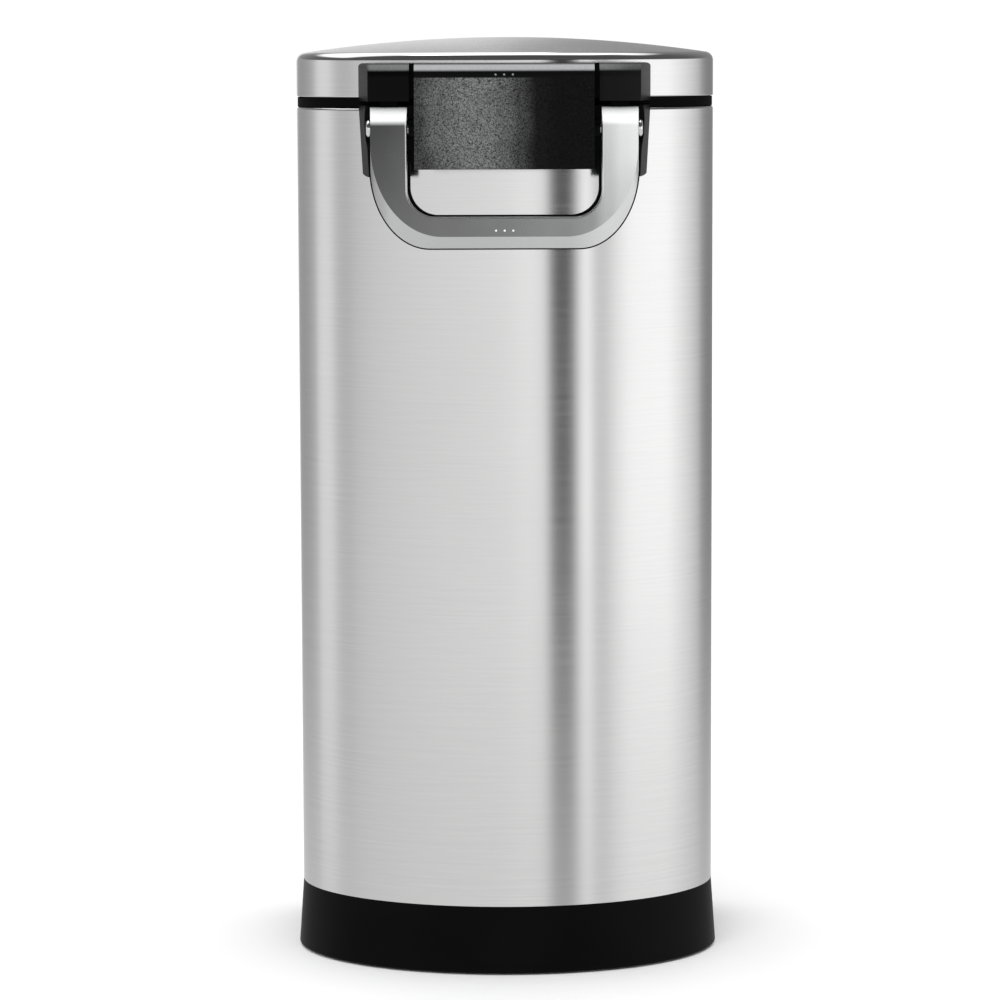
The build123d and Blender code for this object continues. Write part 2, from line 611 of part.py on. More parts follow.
def hinge_base():
    """The hinge half on the sleeve: a plate with two outer knuckles."""
    plate = _hinge_leaf(BASE_LEAF)
    rear = HINGE_Y + HINGE_RADIUS
    for side in SIDES:
        low, high = sorted((side * (HINGE_LID_HALF + 0.4), side * HINGE_HALF))
        web = block((low, high), (BACK_Y + 0.8, rear), (588, HINGE_Z))
        web -= block((low - 1, high + 1), (rear - 6, rear + 4), (580, 594))
        plate += web
        plate -= rod("X", HINGE_RADIUS - 0.5, low, high, (HINGE_Y, HINGE_Z))
        plate += _barrel(low, high, PIN_RADIUS + FIXED)
    return drilled(plate, HINGE_BASE_SCREWS, SCREW["shank"] + FIXED, HINGE_SCREW_REACH)


def lid_hinge_arm():
    """The hinge half on the lid: a plate with one middle knuckle."""
    plate = _hinge_leaf(LID_LEAF)
    low, high = -HINGE_LID_HALF, HINGE_LID_HALF
    web = block((low, high), (BACK_Y + 0.8, HINGE_Y + HINGE_RADIUS - 1), (HINGE_Z, 618))
    web = fillet(web.edges().filter_by(Axis.X).group_by(Axis.Z)[-1].sort_by(Axis.Y)[-1], 5)
    plate += web
    plate -= rod("X", HINGE_RADIUS - 0.5, low, high, (HINGE_Y, HINGE_Z))
    plate += _barrel(low, high, PIN_RADIUS + RUNNING)
    return drilled(plate, HINGE_ARM_SCREWS, SCREW["shank"] + FIXED, HINGE_SCREW_REACH)


def hinge_pin():
    """The steel pin through the knuckles."""
    pin = rod("X", PIN_RADIUS, -HINGE_HALF, HINGE_HALF, (HINGE_Y, HINGE_Z))
    return chamfer(pin.edges().filter_by(GeomType.CIRCLE), 0.5)


# ---------------------------------------------------------------- base and wheels
def wheel_arch(half, low_y):
    """Cutters that leave room round both wheels."""
    arch = block((WHEEL_X - half, WHEEL_X + half), (low_y, BACK_Y + 20), (0, WHEEL_Z + WHEEL_RADIUS + 2.2))
    return both(arch)


def base_skirt():
    """The flared plinth, relieved at the back so the can tips on to its wheels."""
    skirt = taper(BASE_FLARE, BASE_FOOT, 0, BASE_TOP)
    skirt = fillet(skirt.edges().group_by(Axis.Z)[0], 1.5)
    skirt -= taper(BASE_FLARE - BASE_WALL, BASE_FOOT - 1, -BASE_WALL, BASE_TOP - 3)
    skirt -= prism(SPIGOT_INNER, BASE_TOP - 4, BASE_TOP + 1)
    skirt += ring(-SHEET - 0.2, SPIGOT_INNER, BASE_TOP - 3.2, SPIGOT_TOP)
    skirt -= block(REAR_RELIEF_X, REAR_RELIEF_Y, (0, 12))
    skirt -= wheel_arch(WHEEL_WIDTH / 2 + 7.5, WHEEL_Y - 4)
    inside = taper(BASE_FLARE - 1, BASE_FOOT, -1, BASE_TOP)
    boss_low, boss_high = FLOOR_PLATE[1], BOSS_TOP
    tall = boss_high - boss_low
    for x, y in BASE_SCREW_SPOTS:
        boss = rod("Z", BOSS_RADIUS, boss_low, boss_high, (x, y))
        span = (SIDE_RIB, RIB_THICK) if y > 0 else (RIB_THICK, FRONT_RIB)
        rib = Pos(x, y, (boss_low + boss_high) / 2) * Box(*span, tall)
        skirt += (boss + rib) & inside
        skirt -= rod("Z", SCREW["shank"] + FIXED, 0, boss_low + BASE_SCREW_REACH, (x, y))
    return skirt


def base_floor():
    """The bottom plate, with bosses for the feet and hangers for the axle."""
    low, high = FLOOR_PLATE
    plate = prism(-2.0, low, high)
    plate -= block(REAR_RELIEF_X, REAR_RELIEF_Y, (0, 60))
    plate -= wheel_arch(WHEEL_WIDTH / 2 + 2.4, WHEEL_Y - WHEEL_RADIUS - 3)
    for spot in FOOT_SPOTS:
        plate += rod("Z", FOOT_RADIUS + 1.5, FOOT_THICK, low + 0.5, spot)
    for spot in BASE_SCREW_SPOTS:
        plate -= rod("Z", SCREW["shank"] + 0.3, 0, 60, spot)
    for x in (WHEEL_X - HANGER_OFFSET, WHEEL_X + HANGER_OFFSET):
        hanger = block((x - 2, x + 2), (WHEEL_Y - 26, WHEEL_Y), (high - 1, WHEEL_Z + 7))
        hanger += rod("X", 7, x - 2, x + 2, (WHEEL_Y, WHEEL_Z))
        hanger -= rod("X", AXLE_RADIUS + FIXED, x - 5, x + 5, (WHEEL_Y, WHEEL_Z))
        plate += hanger + mirror(hanger, Plane.YZ)
    return plate


def base_feet():
    """Rubber pads under the floor plate."""
    feet = []
    for spot in FOOT_SPOTS:
        foot = rod("Z", FOOT_RADIUS, 0, FOOT_THICK, spot)
        feet.append(fillet(foot.edges().group_by(Axis.Z)[0], 1.2).solid())
    return Compound(feet)


def wheel_axle():
    """One steel axle through all four hangers."""
    reach = WHEEL_X + 16
    axle = rod("X", AXLE_RADIUS, -reach, reach, (WHEEL_Y, WHEEL_Z))
    return chamfer(axle.edges().filter_by(GeomType.CIRCLE), 0.6)


def wheel_ends(side):
    """Where a wheel starts and ends along the axle."""
    return sorted((side * (WHEEL_X - WHEEL_WIDTH / 2), side * (WHEEL_X + WHEEL_WIDTH / 2)))


def wheel_hub(side):
    """A spoked plastic hub."""
    low, high = wheel_ends(side)
    centre = (WHEEL_Y, WHEEL_Z)
    nave, rim_inner, dish = 6.5, 13.5, 6
    hub = rod("X", HUB_RADIUS, low + 1, high - 1, centre)
    for start, end in ((low, low + dish), (high - dish, high)):
        hub -= rod("X", rim_inner, start, end, centre) - rod("X", nave, low - 1, high + 1, centre)
    for i in range(6):
        spoke = Rot(60 * i, 0, 0) * Pos(0, 10, 0) * Box(high - low - 3, 8, 2)
        hub += Pos((low + high) / 2, WHEEL_Y, WHEEL_Z) * spoke
    return hub - rod("X", AXLE_RADIUS + RUNNING, low - 1, high + 1, centre)


def wheel_tyre(side):
    """The rubber tread on a hub."""
    low, high = wheel_ends(side)
    tyre = rod("X", WHEEL_RADIUS, low + 1, high - 1, (WHEEL_Y, WHEEL_Z))
    tyre = fillet(tyre.edges().filter_by(GeomType.CIRCLE), 1.6)
    return tyre - rod("X", HUB_RADIUS, low, high, (WHEEL_Y, WHEEL_Z))


# ---------------------------------------------------------------- scoop
def _scoop_box(inset, bottom, top, corner, edge):
    """The bowl's form, closed above and open below, taken in by inset."""
    low_y, high_y = SCOOP_BOWL_Y
    half = SCOOP_HALF - inset
    box = block((-half, half), (low_y + inset, high_y - inset), (bottom, top))
    box = fillet(box.edges().filter_by(Axis.Z), corner)
    return fillet(box.edges().group_by(Axis.Z)[-1], edge)


def scoop():
    """The scoop that docks under the lid, its bowl open downwards while it hangs there."""
    bottom = SCOOP_TOP - SCOOP_DEPTH
    bowl = _scoop_box(0, bottom, SCOOP_TOP, SCOOP_CORNER, SCOOP_EDGE)
    hollow = _scoop_box(
        SCOOP_WALL, bottom - 10, SCOOP_TOP - SCOOP_WALL, SCOOP_CORNER - SCOOP_WALL, SCOOP_EDGE - SCOOP_WALL
    )
    grip = block((-12, 12), (DOCK_Y - 22, SCOOP_BOWL_Y[0] + 10), (SCOOP_TOP - 7, SCOOP_TOP))
    grip = fillet(grip.edges().filter_by(Axis.Z).group_by(Axis.Y)[0], 11)
    grip = fillet(grip.edges().group_by(Axis.Z)[0], 2.5)
    keeper = rod("Z", MAGNET_RADIUS, SCOOP_TOP - KEEPER_THICK, SCOOP_TOP + 1, (0, DOCK_Y))
    return bowl + grip - hollow - keeper


def scoop_keeper():
    """The steel disc in the scoop's grip that the magnet holds."""
    return rod("Z", MAGNET_RADIUS, SCOOP_TOP - KEEPER_THICK, SCOOP_TOP, (0, DOCK_Y))


def dock_magnet():
    """The magnet let into the liner's dock."""
    return rod("Z", MAGNET_RADIUS, DOCK_BOTTOM + 0.1, DOCK_BOTTOM + MAGNET_THICK, (0, DOCK_Y))


# ---------------------------------------------------------------- fasteners
def screws(planes, reach):
    """A set of like screws, as separate solids."""
    return Compound([screw_on(plane, reach).solid() for plane in planes])


def base_screws():
    """Screws up through the floor plate into the skirt's bosses."""
    under = FLOOR_PLATE[0]
    planes = [Plane(origin=(*spot, under), x_dir=(1, 0, 0), z_dir=(0, 0, -1)) for spot in BASE_SCREW_SPOTS]
    return screws(planes, BASE_SCREW_REACH)


def nodes():
    """Every sub-part by name."""
    made = {
        "body_shell": body_shell(),
        "rim_collar": rim_collar(),
        "inner_bucket": inner_bucket(),
        "backing_plate": backing_plate(),
        "latch_bracket": latch_bracket(),
        "bracket_screws": screws(BRACKET_SCREWS, BRACKET_SCREW_REACH),
        "handle_bail": handle_bail(),
        "handle_grip_back": handle_grip_back(),
        "handle_bushes": handle_bushes(),
        "handle_bumpers": handle_bumpers(),
        "handle_dots": handle_dots(),
        "lid_shell": lid_shell(),
        "lid_liner": lid_liner(),
        "lid_gasket": lid_gasket(),
        "lid_latch_housing": lid_latch_housing(),
        "housing_screws": screws(HOUSING_SCREWS, HOUSING_SCREW_REACH),
        "catch_tabs": catch_tabs(),
        "latch_plate": latch_plate(),
        "latch_plate_dots": latch_plate_dots(),
        "hinge_base": hinge_base(),
        "hinge_base_screws": screws(HINGE_BASE_SCREWS, HINGE_SCREW_REACH),
        "lid_hinge_arm": lid_hinge_arm(),
        "hinge_arm_screws": screws(HINGE_ARM_SCREWS, HINGE_SCREW_REACH),
        "hinge_pin": hinge_pin(),
        "base_skirt": base_skirt(),
        "base_floor": base_floor(),
        "base_feet": base_feet(),
        "base_screws": base_screws(),
        "wheel_axle": wheel_axle(),
        "scoop": scoop(),
        "scoop_keeper": scoop_keeper(),
        "dock_magnet": dock_magnet(),
    }
    for name, side in (("left", -1), ("right", 1)):
        made[f"pivot_screw_{name}"] = pivot_screw(side)
        made[f"wheel_hub_{name}"] = wheel_hub(side)
        made[f"wheel_tyre_{name}"] = wheel_tyre(side)
    return made


os.makedirs("parts", exist_ok=True)
for node_name, shape in nodes().items():
    export_step(shape, f"parts/{node_name}.step")
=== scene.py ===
"""Looks for a bow-fronted steel storage can: its visible surfaces, materials, studio and camera.

Metres, +Z up, the front faces -Y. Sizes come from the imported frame.
"""
import json
from math import cos, pi, radians, sin

import bmesh
import bpy
from mathutils import Matrix, Vector


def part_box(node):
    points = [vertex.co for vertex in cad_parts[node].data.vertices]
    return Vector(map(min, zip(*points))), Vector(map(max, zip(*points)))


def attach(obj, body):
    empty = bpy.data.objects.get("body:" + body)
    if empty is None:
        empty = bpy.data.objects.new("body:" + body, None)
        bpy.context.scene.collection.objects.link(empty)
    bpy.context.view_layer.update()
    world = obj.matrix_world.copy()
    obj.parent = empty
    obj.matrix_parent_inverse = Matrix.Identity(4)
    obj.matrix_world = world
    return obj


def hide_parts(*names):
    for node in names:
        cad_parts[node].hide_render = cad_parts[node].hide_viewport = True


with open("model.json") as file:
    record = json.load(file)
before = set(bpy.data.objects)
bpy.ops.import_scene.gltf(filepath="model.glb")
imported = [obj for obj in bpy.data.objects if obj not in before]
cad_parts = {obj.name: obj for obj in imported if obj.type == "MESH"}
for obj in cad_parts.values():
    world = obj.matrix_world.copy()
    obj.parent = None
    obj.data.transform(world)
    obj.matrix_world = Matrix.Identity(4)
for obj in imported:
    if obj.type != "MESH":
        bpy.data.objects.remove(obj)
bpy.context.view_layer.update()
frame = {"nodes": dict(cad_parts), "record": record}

NODES = frame["nodes"]
MM = 0.001

# ---------------------------------------------------------------- sizes
SLEEVE_LOW, SLEEVE_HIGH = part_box("body_shell")
LID_LOW, LID_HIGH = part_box("lid_shell")
PLATE_LOW, PLATE_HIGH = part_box("latch_plate")
HANDLE_LOW, HANDLE_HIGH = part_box("handle_bail")

HALF = SLEEVE_HIGH.x
FRONT = SLEEVE_LOW.y
BACK = SLEEVE_HIGH.y
BOW = 106 * MM  # how far the elliptical front stands out from the straight sides
REAR_CORNER = 35 * MM
SHEET = 1 * MM
BOW_Y = FRONT + BOW
CENTRE_Y = (FRONT + BACK) / 2
DOME_RISE = 11.5 * MM
LID_EDGE = LID_HIGH.z - DOME_RISE  # where the dome meets the lid's side
LID_ROUND = 6 * MM
LID_ROUND_ANGLE = 80  # degrees of the rounded edge; the dome goes on from there
DOME_REACH = 0.9 * HALF  # the dome's mean radius, which sets how far its rounded edge cuts into its rise
DOME_LEVELS = 26
HEM = 0.4 * MM
ROLL = 2.2 * MM  # radius of the sleeve's rolled top edge
TURNED_IN = 4 * MM
FLAT = 0.5 * MM  # a short level next to a rounding, which keeps the long side beside it evenly shaded
CREASE = radians(50)  # edges sharper than this stay sharp


# ---------------------------------------------------------------- mesh helpers
def arc(cx, cy, rx, ry, start, end, steps):
    """Points of an elliptical arc, without its last one. Angles in degrees."""
    turn = radians(end - start) / steps
    return [
        (cx + rx * cos(radians(start) + i * turn), cy + ry * sin(radians(start) + i * turn))
        for i in range(steps)
    ]


def line(a, b, steps):
    """Points from a to b, without b."""
    return [(a[0] + (b[0] - a[0]) * i / steps, a[1] + (b[1] - a[1]) * i / steps) for i in range(steps)]


def plan(grow):
    """The can's outline seen from above, grown outwards, as a closed list of points."""
    half, back, corner = HALF + grow, BACK + grow, REAR_CORNER + grow
    flat = half - corner
    points = arc(0, BOW_Y, half, BOW + grow, 180, 360, 180)
    points += line((half, BOW_Y), (half, back - corner), 10)
    points += arc(flat, back - corner, corner, corner, 0, 90, 18)
    points += line((flat, back), (-flat, back), 24)
    points += arc(-flat, back - corner, corner, corner, 90, 180, 18)
    points += line((-half, back - corner), (-half, BOW_Y), 10)
    return points


def ring(grow, z):
    """One level of a sweep round the can."""
    return [Vector((x, y, z)) for x, y in plan(grow)]


def skin(name, rings, closed=False):
    """A mesh through rings of equal length. closed joins the last ring to the first."""
    bm = bmesh.new()
    made = [[bm.verts.new(p) for p in level] for level in rings]
    count = len(made[0])
    pairs = list(zip(made, made[1:]))
    if closed:
        pairs.append((made[-1], made[0]))
    for low, high in pairs:
        for i in range(count):
            j = (i + 1) % count
            bm.faces.new((low[i], low[j], high[j], high[i]))
    bmesh.ops.recalc_face_normals(bm, faces=bm.faces)
    return finish_mesh(name, bm)


def shade(mesh):
    """Smooth shading that keeps creases sharp."""
    mesh.shade_smooth()
    mesh.set_sharp_from_angle(angle=CREASE)


def finish_mesh(name, bm):
    """Turns a bmesh into a smooth-shaded object in the scene."""
    mesh = bpy.data.meshes.new(name)
    bm.to_mesh(mesh)
    bm.free()
    shade(mesh)
    obj = bpy.data.objects.new(name, mesh)
    bpy.context.scene.collection.objects.link(obj)
    return obj


def place(obj, body, slot, material, *replaced):
    """Says what a piece rides on, looks like and stands for."""
    obj.data.materials.clear()
    obj.data.materials.append(material)
    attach(obj, body)
    if replaced:
        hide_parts(*replaced)
    return obj


# ---------------------------------------------------------------- node helpers
class Graph:
    """A short way to write a node tree. Numbers and sockets are both taken as inputs."""

    def __init__(self, tree):
        self.tree = tree

    def add(self, kind, **settings):
        node = self.tree.nodes.new(kind)
        for key, value in settings.items():
            setattr(node, key, value)
        return node

    def link(self, source, target):
        self.tree.links.new(source, target)

    def feed(self, sockets, values):
        """Sets each socket to its number, or links it."""
        for socket, value in zip(sockets, values):
            if isinstance(value, (int, float)):
                socket.default_value = value
            else:
                self.link(value, socket)

    def split(self, vector):
        """A vector's three parts."""
        node = self.add("ShaderNodeSeparateXYZ")
        self.link(vector, node.inputs[0])
        return node.outputs

    def maths(self, how, a, b=0.0):
        node = self.add("ShaderNodeMath", operation=how)
        self.feed(node.inputs, (a, b))
        return node.outputs["Value"]

    def between(self, fac, a, b):
        """The number a where fac is 0 and b where it is 1."""
        node = self.add("ShaderNodeMix")
        self.feed((node.inputs["Factor"], node.inputs["A"], node.inputs["B"]), (fac, a, b))
        return node.outputs["Result"]

    def map_range(self, value, source, target, interpolation):
        """value mapped from the source range (low, high) to the target range."""
        node = self.add("ShaderNodeMapRange", interpolation_type=interpolation)
        for key, number in zip(("From Min", "From Max", "To Min", "To Max"), (*source, *target)):
            node.inputs[key].default_value = number
        self.link(value, node.inputs["Value"])
        return node.outputs["Result"]


class Nodes(Graph):
    """A material's node tree, ending in its own shader."""

    def __init__(self, name):
        self.material = bpy.data.materials.new(name)
        self.material.use_nodes = True
        super().__init__(self.material.node_tree)
        self.shader = self.tree.nodes["Principled BSDF"]
        texture = self.add("ShaderNodeTexCoord").outputs
        self.coords = texture["Object"]
        self.normal = texture["Normal"]

    def set(self, **values):
        """Sets the shader's own sockets. Underscores stand for spaces."""
        for key, value in values.items():
            self.shader.inputs[key.replace("_", " ")].default_value = value

    def scaled(self, x, y, z):
        """The object's coordinates times three factors."""
        node = self.add("ShaderNodeMapping")
        node.inputs["Scale"].default_value = (x, y, z)
        self.link(self.coords, node.inputs["Vector"])
        return node.outputs["Vector"]

    def ramp(self, value, low, high, stops):
        """A number that follows (spot, value) stops from low to high."""
        node = self.add("ShaderNodeValToRGB")
        node.color_ramp.interpolation = "EASE"
        elements = node.color_ramp.elements
        for i, (spot, level) in enumerate(stops):
            share = (spot - low) / (high - low)
            element = elements[i] if i < 2 else elements.new(share)
            element.position = share
            element.color = (level, level, level, 1)
        self.link(self.ranged(value, 0, 1, low, high), node.inputs["Fac"])
        return node.outputs["Color"]

    def grey(self, value, warmth=0.0):
        """Makes a number the shader's base colour, a little warm or cold."""
        node = self.add("ShaderNodeCombineColor")
        for socket, factor in zip(node.inputs, (1 + warmth, 1, 1 - warmth)):
            self.link(self.maths("MULTIPLY", value, factor), socket)
        self.link(node.outputs["Color"], self.shader.inputs["Base Color"])

    def noise(self, vector, scale=1.0, detail=2.0, rough=0.5):
        node = self.add("ShaderNodeTexNoise")
        node.inputs["Scale"].default_value = scale
        node.inputs["Detail"].default_value = detail
        node.inputs["Roughness"].default_value = rough
        self.link(vector, node.inputs["Vector"])
        return node.outputs["Fac"]

    def pebbles(self, vector, scale):
        node = self.add("ShaderNodeTexVoronoi", feature="SMOOTH_F1")
        node.inputs["Scale"].default_value = scale
        self.link(vector, node.inputs["Vector"])
        return node.outputs["Distance"]

    def ranged(self, value, low, high, source_low=0.3, source_high=0.7):
        """value mapped to low..high. The source range fits a noise texture unless it is given."""
        return self.map_range(value, (source_low, source_high), (low, high), "LINEAR")

    def tinted(self, fac, dark, light):
        """A colour between two, by fac."""
        node = self.add("ShaderNodeMix", data_type="RGBA")
        self.link(fac, node.inputs["Factor"])
        node.inputs["A"].default_value = (*dark, 1)
        node.inputs["B"].default_value = (*light, 1)
        self.link(node.outputs["Result"], self.shader.inputs["Base Color"])

    def bump(self, height, distance, strength):
        """Small relief, distance metres deep."""
        node = self.add("ShaderNodeBump")
        node.inputs["Distance"].default_value = distance
        node.inputs["Strength"].default_value = strength
        self.link(height, node.inputs["Height"])
        self.link(node.outputs["Normal"], self.shader.inputs["Normal"])


# ---------------------------------------------------------------- materials
def brushed_steel(name, shine=0.2, tone=0.62, rim=False):
    """Stainless sheet brushed from side to side: fine level lines that stretch its highlights up and down.

    With rim, the lines go on over a top, and the rounded edge between side and top is polished.
    """
    n = Nodes(name)

    def lines(along, across, over_top, detail, roughness):
        """Noise drawn out along the brushing: cells per metre along the lines and across them."""
        stretched = n.scaled(along, across, along) if over_top else n.scaled(along, along, across)
        return n.noise(stretched, 1.0, detail, roughness)

    fine = lines(30, 3600, False, 3.0, 0.6)
    coarse = lines(9, 700, False, 2.0, 0.5)
    cloud = lines(9, 5, False, 3.0, 0.5)
    if rim:
        top = n.ranged(n.split(n.normal)[2], 0, 1, 0.7, 0.9)
        fine = n.between(top, fine, lines(30, 3600, True, 3.0, 0.6))
        coarse = n.between(top, coarse, lines(9, 700, True, 2.0, 0.5))
    grain = n.maths("ADD", n.maths("MULTIPLY", fine, 0.7), n.maths("MULTIPLY", coarse, 0.3))
    n.tinted(n.ranged(grain, 0, 1), (tone - 0.025,) * 3, (tone + 0.035, tone + 0.035, tone + 0.032))
    rough = n.maths("ADD", n.ranged(grain, -0.02, 0.02), n.ranged(cloud, shine - 0.015, shine + 0.015))
    if rim:
        level = n.maths("ABSOLUTE", n.split(n.normal)[2], 0)
        above_side, below_top = n.ranged(level, 0, 1, 0.03, 0.12), n.ranged(level, 1, 0, 0.955, 0.975)
        rounded_edge = n.maths("MULTIPLY", above_side, below_top)
        rough = n.between(rounded_edge, rough, 0.07)
    n.link(rough, n.shader.inputs["Roughness"])
    n.set(Metallic=1.0, Anisotropic=0.55)
    n.bump(grain, 0.000012, 0.3)
    geometry = n.add("ShaderNodeNewGeometry")
    across = n.add("ShaderNodeVectorMath", operation="CROSS_PRODUCT")
    across.inputs[1].default_value = (1, 0, 0)
    n.link(geometry.outputs["Normal"], across.inputs[0])
    upright = n.add("ShaderNodeVectorMath", operation="ADD")
    upright.inputs[1].default_value = (0, 0, 0.35)
    n.link(across.outputs["Vector"], upright.inputs[0])
    n.link(upright.outputs["Vector"], n.shader.inputs["Tangent"])
    return n.material


def moulded(name, dark, light, rough, grain_size, depth, spread=0.05, gloss=0.5):
    """Moulded plastic with a fine, even grain."""
    n = Nodes(name)
    grain = n.noise(n.coords, 1 / grain_size, 3.0, 0.6)
    cloud = n.noise(n.coords, 14, 3.0, 0.5)
    n.tinted(n.ranged(cloud, 0, 1), dark, light)
    n.link(n.maths("ADD", n.ranged(grain, -spread, spread), n.ranged(cloud, rough - 0.02, rough + 0.02)),
           n.shader.inputs["Roughness"])
    n.set(Specular_IOR_Level=gloss)
    n.bump(grain, depth, 0.5)
    return n.material


def painted_highlight_edge(n):
    """Mask for a painted highlight: 1 along a rounded top front edge, 0 on the flat faces beside it."""
    level = n.split(n.normal)[2]
    return n.maths("MULTIPLY", n.ranged(level, 0, 1, 0.44, 0.60), n.ranged(level, 1, 0, 0.86, 0.97))


def gloss_black(name):
    """Smooth black moulding with a painted highlight along its rounded top edge, and painted shading that
    makes its right block lighter.
    """
    n = Nodes(name)
    x, y, z = n.split(n.coords)
    flow = n.noise(n.coords, 1 / (1.6 * MM), 3.0, 0.6)
    high = n.ranged(z, 0, 1, PLATE_HIGH.z - 10 * MM, PLATE_HIGH.z - 9 * MM)
    # mask of the rounded top edge, where a highlight is painted
    edge = n.maths("MULTIPLY", painted_highlight_edge(n), high)
    # painted highlight on the top edge: its brightness across the moulding, brightest on the left and in
    # the middle
    painted_edge_highlight = n.ramp(x, -0.1, 0.1, (
        (-0.1, 0.02), (-0.093, 0.04), (-0.09, 0.11), (-0.065, 0.12),
        (0.065, 0.11), (0.09, 0.05), (0.1, 0.02),
    ))
    # painted shading on the faces: darker on the left, lighter on the right block
    painted_face_shading = n.ramp(x, -0.1, 0.1, ((-0.1, 0.001), (0.06, 0.0012), (0.07, 0.004), (0.1, 0.006)))
    n.grey(n.maths("MULTIPLY", n.between(edge, painted_face_shading, painted_edge_highlight), n.ranged(flow, 0.85, 1.15)), -0.01)
    n.link(n.ranged(flow, 0.36, 0.44), n.shader.inputs["Roughness"])
    n.set(Specular_IOR_Level=0.07)
    n.bump(flow, 0.00001, 0.5)
    return n.material


def leather_grain(name):
    """A pebbled plate with a painted sheen on its pebbles left of its middle, and a smooth top edge with a
    painted highlight.
    """
    n = Nodes(name)
    x, y, z = n.split(n.coords)
    face = n.ranged(z, 1, 0, PLATE_HIGH.z - 9.9 * MM, PLATE_HIGH.z - 9.3 * MM)
    pebble = n.pebbles(n.coords, 1 / (1.15 * MM))
    creases = n.noise(n.coords, 1 / (0.8 * MM), 3.0, 0.7)
    drift = n.noise(n.coords, 25, 2.0, 0.5)
    height = n.maths("ADD", n.maths("MULTIPLY", pebble, -0.6), n.maths("MULTIPLY", creases, 0.9))
    half = PLATE_HIGH.x
    lean = n.ranged(z, -5 * MM, 0, PLATE_LOW.z, PLATE_LOW.z + 48 * MM)
    across = n.maths("ADD", n.maths("ADD", x, lean), n.ranged(drift, -4 * MM, 4 * MM))
    # painted sheen: the plate is painted lighter left of its middle, fading to dark on the right, as if
    # lit from the left
    painted_sheen = n.ramp(across, -half, half, (
        (-half, 0.025), (-46 * MM, 0.064), (-26 * MM, 0.085), (-14 * MM, 0.083), (0, 0.056),
        (10 * MM, 0.026), (22 * MM, 0.004), (36 * MM, 0.002), (half, 0.002),
    ))
    crowns = n.ranged(n.maths("ADD", creases, n.maths("MULTIPLY", pebble, -0.25)), 0.05, 2.15, 0.22, 0.53)
    # the smooth top band: dark, with a painted highlight along its rounded edge
    top_band_with_painted_highlight = n.between(painted_highlight_edge(n), 0.003, n.ranged(creases, 0.24, 0.34))
    n.grey(n.between(face, top_band_with_painted_highlight, n.maths("MULTIPLY", painted_sheen, crowns)), -0.012)
    n.link(n.between(face, 0.3, n.ranged(creases, 0.5, 0.36)), n.shader.inputs["Roughness"])
    n.set(Specular_IOR_Level=0.07)
    n.bump(n.maths("MULTIPLY", height, face), 0.00016, 0.8)
    return n.material


def satin_casting(name):
    """Cast metal with a satin face, shaded by painted light: the face lightens to the right and, on the
    right, upwards; bevels, edges and back are painted lighter than the face and lighter again to the
    right; the heads' tops carry a painted highlight.
    """
    n = Nodes(name)
    x, y, z = n.split(n.coords)
    flake = n.noise(n.coords, 1 / (0.35 * MM), 2.0, 0.6)
    swell = n.noise(n.coords, 35, 2.0, 0.5)
    face = n.ranged(n.split(n.normal)[1], 1, 0, -0.995, -0.97)
    half, low, high = HANDLE_HIGH.x, HANDLE_LOW.z, HANDLE_HIGH.z
    # painted light on the face: its tone lightens from left to right
    across = n.ramp(x, -half, half, (
        (-half, 0.12), (-66 * MM, 0.145), (-40 * MM, 0.165), (0, 0.20), (40 * MM, 0.25), (58 * MM, 0.30),
        (70 * MM, 0.46), (80 * MM, 0.56), (half, 0.60),
    ))
    # bevels, edges and back: painted lighter than the face, and lighter again to the right, as painted
    # light
    bevel_tone_with_painted_light = n.ramp(x, -half, half, (
        (-half, 0.34), (-84 * MM, 0.46), (-76 * MM, 0.58), (-40 * MM, 0.58),
        (40 * MM, 0.62), (76 * MM, 0.78), (half, 0.80),
    ))
    # painted light by height: the face darkens upwards on the left and lightens upwards on the right
    climb = n.ranged(z, 0, 1, low + 22 * MM, high - 12 * MM)
    painted_light_by_height = n.maths("ADD", 1.0, n.maths("MULTIPLY", climb, n.ranged(x, -0.45, 0.45, -80 * MM, 80 * MM)))
    face_tone_with_painted_light = n.maths("MULTIPLY", across, painted_light_by_height)
    tone = n.between(face, bevel_tone_with_painted_light, face_tone_with_painted_light)
    # painted highlight on the heads' tops: near white and mostly matt
    painted_head_highlight = n.ranged(z, 0, 1, high - 12.4 * MM, high - 8.2 * MM)
    tone = n.between(painted_head_highlight, tone, 0.95)
    n.grey(n.maths("MULTIPLY", tone, n.ranged(flake, 0.94, 1.06)), -0.006)
    rough = n.maths("ADD", n.ranged(flake, -0.04, 0.04), n.ranged(swell, 0.29, 0.34))
    n.link(rough, n.shader.inputs["Roughness"])
    n.link(n.between(painted_head_highlight, 0.9, 0.25), n.shader.inputs["Metallic"])
    n.bump(flake, 0.000015, 0.4)
    return n.material


def turned_metal(name, tone, rough):
    """Plain metal with faint marks, for screws, pins and axles."""
    n = Nodes(name)
    marks = n.noise(n.coords, 1 / (0.5 * MM), 3.0, 0.6)
    n.tinted(n.ranged(marks, 0, 1), (tone - 0.06,) * 3, (tone + 0.05,) * 3)
    n.link(n.ranged(marks, rough - 0.05, rough + 0.06), n.shader.inputs["Roughness"])
    n.set(Metallic=1.0)
    n.bump(marks, 0.00002, 0.3)
    return n.material


def clear_plastic(name):
    """Smoke-tinted clear plastic."""
    n = Nodes(name)
    cloud = n.noise(n.coords, 40, 2.0, 0.5)
    n.tinted(n.ranged(cloud, 0, 1), (0.46, 0.48, 0.50), (0.56, 0.58, 0.60))
    n.link(n.ranged(cloud, 0.12, 0.2), n.shader.inputs["Roughness"])
    n.set(Transmission_Weight=0.6, IOR=1.49)
    n.bump(cloud, 0.0001, 0.2)
    return n.material


